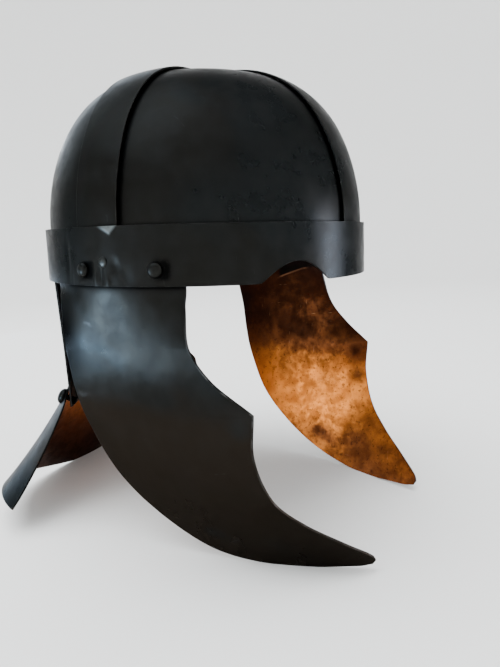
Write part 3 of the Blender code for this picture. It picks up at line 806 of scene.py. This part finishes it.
def make_rivet(node, seat, axis, shank, head, height, grip, material, seed):
    """A rivet turned about its axis; its head is made uneven by a ripple, as from a hammer."""
    sides = RIVET_SIDES
    turns = np.arange(sides) * 2 * math.pi / sides
    profile = rivet_profile(head, height, shank, grip)
    radius, level = profile[:, :1], profile[:, 1:]
    x, y = radius * np.cos(turns), radius * np.sin(turns)
    points = np.stack(np.broadcast_arrays(x, y, level), -1)
    wobble = ripple(points, 2.2 * head, seed)
    domed = (level > 0)[..., None]
    points = points * np.where(domed, 1 + 0.07 * wobble[..., None], 1.0)
    across = np.cross([0.0, 0.0, 1.0], axis)
    across = across / np.linalg.norm(across)
    points = seat + points @ np.stack([across, np.cross(axis, across), axis])
    levels = len(profile)
    number, quads = turned_quads(levels, sides)
    ends = np.array([points[0].mean(0), points[-1].mean(0)])
    vertices = stand(np.concatenate([points.reshape(-1, 3), ends]))
    top, bottom = levels * sides, levels * sides + 1
    first, last = number[0], number[-1]
    cap = np.stack([first[:-1], first[1:], np.full(sides, top)], -1)
    base = np.stack([last[1:], last[:-1], np.full(sides, bottom)], -1)
    faces = quads.tolist() + cap.tolist() + base.tolist()
    crown = np.broadcast_to(ease(level / height), (levels, sides)).ravel()
    crown = np.concatenate([crown, [1.0, 0.0]])
    bare = (PEEN_BARE if head == PEEN_HEAD else DOME_BARE) * crown
    add_mesh(node, vertices, faces, np.zeros(len(faces)), [material], {
        "rim": np.full(len(vertices), FAR_FROM_RIM),
        "bare": bare,
        "grime_and_shade": TAIL_GRIME * (bare < 0.01),
    })


def make_band_rivets(material):
    """The rivets through the band: seats on the oval, axes level and square to it."""
    rows = []
    for side, word in ((1, "right"), (-1, "left")):
        for k, angle in enumerate(GUARD_RIVET_ANGLES):
            name = "guard_rivet_%s_%d" % (word, k + 1)
            rows.append((name, side * angle, RIVET_DROP, GUARD_SHEET, False))
        rows.append(("peened_rivet_" + word, side * PEEN_ANGLE, PEEN_DROP, GUARD_SHEET, True))
    for k, angle in enumerate(NAPE_RIVET_ANGLES):
        rows.append(("nape_rivet_%d" % (k + 1), angle, RIVET_DROP, NAPE_SHEET, False))
    for k, (name, angle, drop, sheet, peened) in enumerate(rows):
        inset = BAND_TAPER * (1 - 2 * drop / BAND_HEIGHT)
        sunk = float(band_relief(np.array(angle), np.array(drop)))
        seat = oval(angle, inset - sunk, drop)
        grip = TAB_INSET - inset + sheet + sunk
        shank = PEEN_SHANK if peened else RIVET_SHANK
        head = PEEN_HEAD if peened else RIVET_HEAD
        height = PEEN_HEAD_HEIGHT if peened else RIVET_HEAD_HEIGHT
        make_rivet(name, seat, oval_normal(angle), shank, head, height, grip, material, 50 + k)


def make_neck_rivets(material):
    """The rivets through both plates: seats on the neck plate, axes along its normal."""
    level = NECK_RIVET_MARGIN / (NECK_DROP - NECK_CORNER_LIFT - NECK_TOP_DROP)
    for k, angle in enumerate(NECK_RIVET_ANGLES):
        share = np.array((abs(angle) - 180.0) / NECK_TOP_HALF_ANGLE * math.copysign(1, angle))
        seat = neck_point(share, level)
        down = neck_point(share, level + 0.01) - seat
        axis = np.cross(neck_point(share + 0.01, level) - seat, down)
        axis = axis / np.linalg.norm(axis) * math.copysign(1, np.dot(axis, seat - HEART))
        tilt = math.asin(axis[2])
        reach = math.hypot(seat[0] / BAND_HALF_WIDTH, seat[1] / BAND_HALF_LENGTH) * BAND_HALF_WIDTH
        wedge = reach - (BAND_HALF_WIDTH - nape_inset(-seat[2])) + NAPE_SHEET
        grip = wedge / math.cos(tilt) + TAIL_HEAD * math.tan(tilt)
        make_rivet("neck_rivet_%d" % (k + 1), seat, axis, RIVET_SHANK, NECK_RIVET_HEAD,
                   NECK_RIVET_HEIGHT, grip, material, 70 + k)


class Shading:
    """A material's node tree, with one short call for each node."""

    def __init__(self, name):
        self.material = bpy.data.materials.new(name)
        self.material.use_nodes = True
        self.tree = self.material.node_tree
        self.shader = self.tree.nodes["Principled BSDF"]
        self.place = self.tree.nodes.new("ShaderNodeTexCoord").outputs["Object"]

    def feed(self, socket, value):
        if isinstance(value, bpy.types.NodeSocket):
            self.tree.links.new(value, socket)
        else:
            socket.default_value = value

    def mapped(self, scale, turn=(0.0, 0.0, 0.0)):
        """Object coordinates, turned and then stretched."""
        node = self.tree.nodes.new("ShaderNodeMapping")
        self.feed(node.inputs["Vector"], self.place)
        node.inputs["Rotation"].default_value = [math.radians(a) for a in turn]
        node.inputs["Scale"].default_value = scale
        return node.outputs["Vector"]

    def noise(self, scale, detail, roughness=0.55, distortion=0.0, vector=None):
        """A cloudy value from 0 to 1; scale is how many clouds fit in a metre."""
        node = self.tree.nodes.new("ShaderNodeTexNoise")
        self.feed(node.inputs["Vector"], self.place if vector is None else vector)
        node.inputs["Scale"].default_value = scale
        node.inputs["Detail"].default_value = detail
        node.inputs["Roughness"].default_value = roughness
        node.inputs["Distortion"].default_value = distortion
        return node.outputs["Fac"]

    def attribute(self, name):
        node = self.tree.nodes.new("ShaderNodeAttribute")
        node.attribute_name = name
        return node.outputs["Fac"]

    def ramp(self, value, low, high, to_low=0.0, to_high=1.0):
        """value from low..high to to_low..to_high, smooth and held at both ends."""
        node = self.tree.nodes.new("ShaderNodeMapRange")
        node.interpolation_type = "SMOOTHSTEP"
        self.feed(node.inputs["Value"], value)
        ends = {"From Min": low, "From Max": high, "To Min": to_low, "To Max": to_high}
        for key, number in ends.items():
            node.inputs[key].default_value = number
        return node.outputs["Result"]

    def math(self, operation, a, b=0.0):
        node = self.tree.nodes.new("ShaderNodeMath")
        node.operation = operation
        self.feed(node.inputs[0], a)
        self.feed(node.inputs[1], b)
        return node.outputs["Value"]

    def blend(self, share, a, b):
        """Colour a where share is 0, colour b where it is 1."""
        node = self.tree.nodes.new("ShaderNodeMix")
        node.data_type = "RGBA"
        self.feed(node.inputs["Factor"], share)
        colours = [s for s in node.inputs if s.type == "RGBA"]
        for socket, value in zip(colours, (a, b)):
            self.feed(socket, value if isinstance(value, bpy.types.NodeSocket) else (*value, 1.0))
        return [s for s in node.outputs if s.type == "RGBA"][0]

    def bump(self, height, strength, distance, normal=None):
        node = self.tree.nodes.new("ShaderNodeBump")
        self.feed(node.inputs["Height"], height)
        node.inputs["Strength"].default_value = strength
        node.inputs["Distance"].default_value = distance
        if normal is not None:
            self.feed(node.inputs["Normal"], normal)
        return node.outputs["Normal"]

    def finish(self, colour, roughness, normal, edge):
        """A metal; edge is how bright it mirrors where it is seen along its surface."""
        self.feed(self.shader.inputs["Base Color"], colour)
        self.feed(self.shader.inputs["Roughness"], roughness)
        self.feed(self.shader.inputs["Normal"], normal)
        self.shader.inputs["Metallic"].default_value = 1.0
        self.shader.inputs["Specular Tint"].default_value = (edge, edge, edge, 1.0)
        return self.material


def blackened_steel(name):
    """Oiled black sheet: cloudy patina, faint scratches, bare metal along rims and at chips;
    painted shade, a painted warm reflection, and a painted highlight on the guards' front edges.
    """
    s = Shading(name)
    cloud = s.noise(16.0, 3.0, 0.5, 0.3)
    mottle = s.noise(90.0, 5.0, 0.6)
    grain = s.noise(1400.0, 2.0, 0.5)
    streak = s.noise(1.0, 3.0, 0.6, 0.0, s.mapped((900.0, 45.0, 60.0), (20.0, 35.0, 10.0)))
    scratch = s.ramp(streak, 0.70, 0.76)
    # A painted warm reflection: brownish where tone with painted light is high
    brown = s.ramp(s.attribute("tone"), 0.0, 0.5, 0.0, 0.8)
    colour = s.blend(s.ramp(cloud, 0.38, 0.62), STEEL_COOL, STEEL_WARM)
    colour = s.blend(s.ramp(mottle, 0.35, 0.72, 0.0, 0.45), colour, STEEL_PALE)
    colour = s.blend(brown, colour, STEEL_WARM_REFLECTION)
    colour = s.blend(s.math("MULTIPLY", scratch, 0.22), colour, STEEL_SCRATCH)
    # Grime and painted shade
    colour = s.blend(s.ramp(s.attribute("grime_and_shade"), 0.05, 0.8), colour, STEEL_GRIME_AND_SHADE)
    # Bare metal worn along the rims, and a painted highlight on the guards' front edges
    rim = s.ramp(s.attribute("rim"), 0.0002, 0.0010, 1.0, 0.0)
    wear_and_highlight = s.math("MULTIPLY", rim, s.ramp(s.noise(160.0, 3.0), 0.42, 0.66))
    wear_and_highlight = s.math("MULTIPLY", wear_and_highlight, s.math("ADD", s.attribute("wear"), 0.1))
    colour = s.blend(wear_and_highlight, colour, STEEL_WEAR_AND_HIGHLIGHT)
    pitted = s.ramp(s.noise(420.0, 3.0), 0.2, 0.5, 0.65, 1.0)
    colour = s.blend(s.math("MULTIPLY", s.attribute("bare"), pitted), colour, STEEL_BARE)
    roughness = s.ramp(mottle, 0.3, 0.75, 0.27, 0.39)
    roughness = s.math("ADD", roughness, s.ramp(cloud, 0.35, 0.65, -0.03, 0.05))
    normal = s.bump(mottle, 0.10, 0.0006)
    normal = s.bump(grain, 0.12, 0.00006, normal)
    normal = s.bump(scratch, 0.15, 0.00005, normal)
    normal = s.bump(s.noise(34.0, 2.0, 0.5), 0.5, 0.0008, normal)
    return s.finish(colour, roughness, normal, STEEL_EDGE)


def mottled_copper(name):
    """Copper colour: from dark brown to orange by tone and painted light, with clouds, dark
    specks, scratches, a painted shadow with a thin bright line along it, and grime and painted
    shade.
    """
    s = Shading(name)
    cloud = s.noise(30.0, 4.0, 0.62, 0.1)
    patch = s.noise(105.0, 6.0, 0.70, 0.15)
    speck = s.noise(330.0, 4.0, 0.7, 0.1)
    streak = s.noise(1.0, 3.0, 0.6, 0.0, s.mapped((38.0, 760.0, 60.0), (25.0, 10.0, 0.0)))
    other = s.noise(1.0, 3.0, 0.6, 0.0, s.mapped((38.0, 60.0, 820.0), (-35.0, 0.0, 15.0)))
    scratch = s.math("MAXIMUM", s.ramp(streak, 0.69, 0.75), s.ramp(other, 0.70, 0.76))
    # Tone with painted light: painted shade high on the guards, painted highlights lower down
    tone = s.math("ADD", s.attribute("tone"), s.ramp(cloud, 0.32, 0.66, -0.04, 0.07))
    tone = s.math("ADD", tone, s.ramp(patch, 0.36, 0.64, 0.05, -0.09))
    # Painted shadow under the guards' arch and painted shade on the neck plate's inside
    painted_shade = s.ramp(s.attribute("painted_shade"), 0.0, 1.0, 0.0, 0.93)
    # Grime and painted shade
    grime_and_shade = s.ramp(s.attribute("grime_and_shade"), 0.1, 0.9, 0.0, 0.8)
    colour = s.blend(s.ramp(tone, -0.1, 0.45), COPPER_DARK, COPPER_MIDDLE)
    colour = s.blend(s.ramp(tone, 0.35, 1.2), colour, COPPER_BRIGHT)
    colour = s.blend(s.ramp(speck, 0.55, 0.66, 0.0, 0.6), colour, COPPER_SPECK)
    colour = s.blend(s.math("MULTIPLY", scratch, 0.22), colour, COPPER_SCRATCH)
    colour = s.blend(painted_shade, colour, COPPER_SHADOW)
    # A thin bright line along the painted shadow
    colour = s.blend(s.math("MULTIPLY", s.attribute("bright_line"), 0.6), colour, COPPER_BRIGHT_LINE)
    colour = s.blend(grime_and_shade, colour, COPPER_GRIME_AND_SHADE)
    roughness = s.ramp(patch, 0.35, 0.7, 0.38, 0.60)
    normal = s.bump(patch, 0.22, 0.0005)
    normal = s.bump(speck, 0.18, 0.0002, normal)
    normal = s.bump(scratch, 0.2, 0.00006, normal)
    return s.finish(colour, roughness, normal, COPPER_EDGE)


def worn_rim(name):
    """The neck plate's cut edge: dark brown with glints of copper, none where its shade is
    painted.
    """
    s = Shading(name)
    patch = s.noise(160.0, 4.0, 0.6)
    unshaded = s.ramp(s.attribute("painted_shade"), 0.0, 0.6, 1.0, 0.0)
    glint = s.math("MULTIPLY", s.ramp(patch, 0.60, 0.70), unshaded)
    colour = s.blend(glint, RIM_DARK, RIM_GLINT)
    roughness = s.ramp(patch, 0.3, 0.7, 0.35, 0.5)
    return s.finish(colour, roughness, s.bump(patch, 0.15, 0.0003), RIM_EDGE)


def make_stage():
    """A pale floor that curves up all round: a profile turned about Z, like a shallow bowl."""
    bend = np.radians(np.arange(6, 91, 6))
    out = np.concatenate([FLOOR_FLAT, FLOOR_FLAT[-1] + FLOOR_CURVE * np.sin(bend)])
    up = np.concatenate([np.zeros(len(FLOOR_FLAT)), FLOOR_CURVE * (1 - np.cos(bend))])
    out, up = np.append(out, out[-1])[:, None], np.append(up, FLOOR_TOP)[:, None]
    turns = np.arange(FLOOR_SIDES) * 2 * math.pi / FLOOR_SIDES
    points = np.stack(np.broadcast_arrays(out * np.cos(turns), out * np.sin(turns), up), -1)
    quads = turned_quads(len(out), FLOOR_SIDES)[1]
    mesh = bpy.data.meshes.new("floor")
    faces = quads.tolist() + [list(range(FLOOR_SIDES))]
    mesh.from_pydata(points.reshape(-1, 3).tolist(), [], faces)
    mesh.shade_smooth()
    floor = bpy.data.objects.new("floor", mesh)
    bpy.context.scene.collection.objects.link(floor)
    material = bpy.data.materials.new("pale_floor")
    material.use_nodes = True
    shader = material.node_tree.nodes["Principled BSDF"]
    shader.inputs["Base Color"].default_value = FLOOR_COLOUR
    shader.inputs["Roughness"].default_value = 0.9
    shader.inputs["Specular IOR Level"].default_value = 0.1
    mesh.materials.append(material)


def add_area_light(name, place, target, size, power, colour):
    """A soft area light at place that faces target."""
    data = bpy.data.lights.new(name, "AREA")
    data.shape = "RECTANGLE"
    data.size, data.size_y = size
    data.energy = power
    data.color = colour
    lamp = bpy.data.objects.new(name, data)
    lamp.location = place
    aim = Vector(target) - Vector(place)
    lamp.rotation_euler = aim.to_track_quat("-Z", "Y").to_euler()
    lamp.visible_camera = False
    bpy.context.scene.collection.objects.link(lamp)
    return lamp


def make_lights():
    """Soft studio light: a broad one overhead for the floor, and panels mirrored in the metal."""
    world = bpy.data.worlds.new("studio")
    world.use_nodes = True
    studio = world.node_tree.nodes["Background"].inputs
    studio["Color"].default_value = STUDIO_COLOUR
    studio["Strength"].default_value = STUDIO_STRENGTH
    bpy.context.scene.world = world
    add_area_light(*OVERHEAD).visible_glossy = False
    for row in MIRRORED:
        add_area_light(*row).visible_diffuse = False


def make_camera():
    """The photograph's camera, placed in the helmet's own frame and stood with it."""
    azimuth, pitch, roll = (math.radians(a) for a in CAMERA_TURN)
    ahead = np.array([-math.sin(azimuth), math.cos(azimuth), 0.0])
    up = np.array([0.0, 0.0, 1.0])
    right = np.cross(ahead, up)
    view = ahead * math.cos(pitch) - up * math.sin(pitch)
    top = np.cross(right, view)
    side = right * math.cos(roll) + top * math.sin(roll)
    crown = -right * math.sin(roll) + top * math.cos(roll)
    axes = np.stack([side, crown, -view])
    world = stand(axes) - STAND_AT
    data = bpy.data.cameras.new("camera")
    data.sensor_width = CAMERA_SENSOR
    data.lens = CAMERA_LENS
    data.clip_start = 0.01
    camera = bpy.data.objects.new("camera", data)
    matrix = np.eye(4)
    matrix[:3, :3] = world.T
    matrix[:3, 3] = stand(np.array(CAMERA_PLACE))
    camera.matrix_world = Matrix(matrix.tolist())
    bpy.context.scene.collection.objects.link(camera)
    bpy.context.scene.camera = camera


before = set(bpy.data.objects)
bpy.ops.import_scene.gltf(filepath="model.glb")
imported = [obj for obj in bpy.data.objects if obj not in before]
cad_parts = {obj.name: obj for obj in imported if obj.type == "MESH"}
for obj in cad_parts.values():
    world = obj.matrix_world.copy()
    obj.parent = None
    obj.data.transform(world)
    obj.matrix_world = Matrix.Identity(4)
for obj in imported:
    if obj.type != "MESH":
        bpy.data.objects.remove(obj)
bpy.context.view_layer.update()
STAND_AT = stand_at()

steel = blackened_steel("blackened_steel")
copper = mottled_copper("mottled_copper")
rim = worn_rim("worn_rim")
all_steel = [steel, steel, steel]
make_brow_band(all_steel)
for side in (-1, 1):
    for end in (-1, 1):
        make_panel(side, end, all_steel)
make_strap("strap_ear_to_ear", 0, low_strap_lift, all_steel)
make_strap("strap_front_back", 1, high_strap_lift, all_steel)
make_guard("cheek_guard_right", -1, [steel, copper, steel])
make_guard("cheek_guard_left", 1, [steel, copper, steel])
make_nape_plate(all_steel)
make_neck_plate([steel, copper, rim])
make_band_rivets(steel)
make_neck_rivets(steel)

make_stage()
make_lights()
make_camera()
